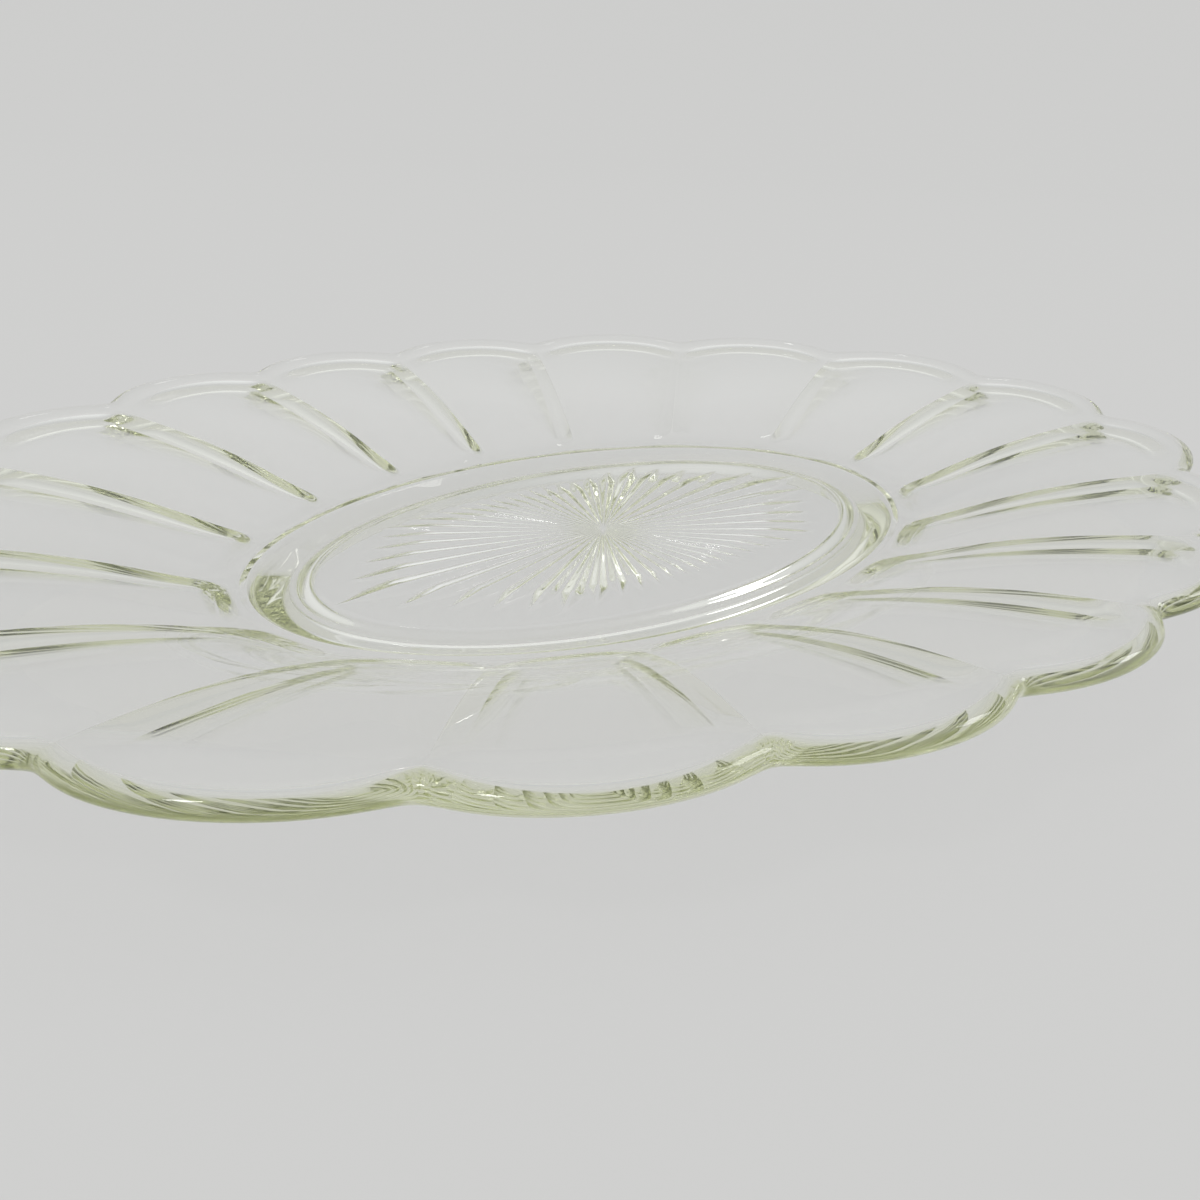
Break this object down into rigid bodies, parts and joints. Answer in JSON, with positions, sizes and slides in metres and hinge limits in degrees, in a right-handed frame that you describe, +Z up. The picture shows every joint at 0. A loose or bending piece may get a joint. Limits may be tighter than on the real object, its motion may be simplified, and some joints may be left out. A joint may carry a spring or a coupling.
{
  "type": "oval serving platter",
  "caption": "Oval serving platter of clear pressed glass with a scalloped, ribbed rim, a shallow well, a foot ring and a rayed star under the well.",
  "frame": {"origin": "middle of the plane that the foot ring stands on", "axes": "+X along the length of the oval, +Y along its width, +Z up"},
  "size_m": [0.3338, 0.255, 0.0257],
  "materials": {
    "clear_glass": "clear, fire-polished, faint olive tint in the thickness"
  },
  "bodies": {
    "root": {"platter": "clear_glass"}
  },
  "joints": []
}
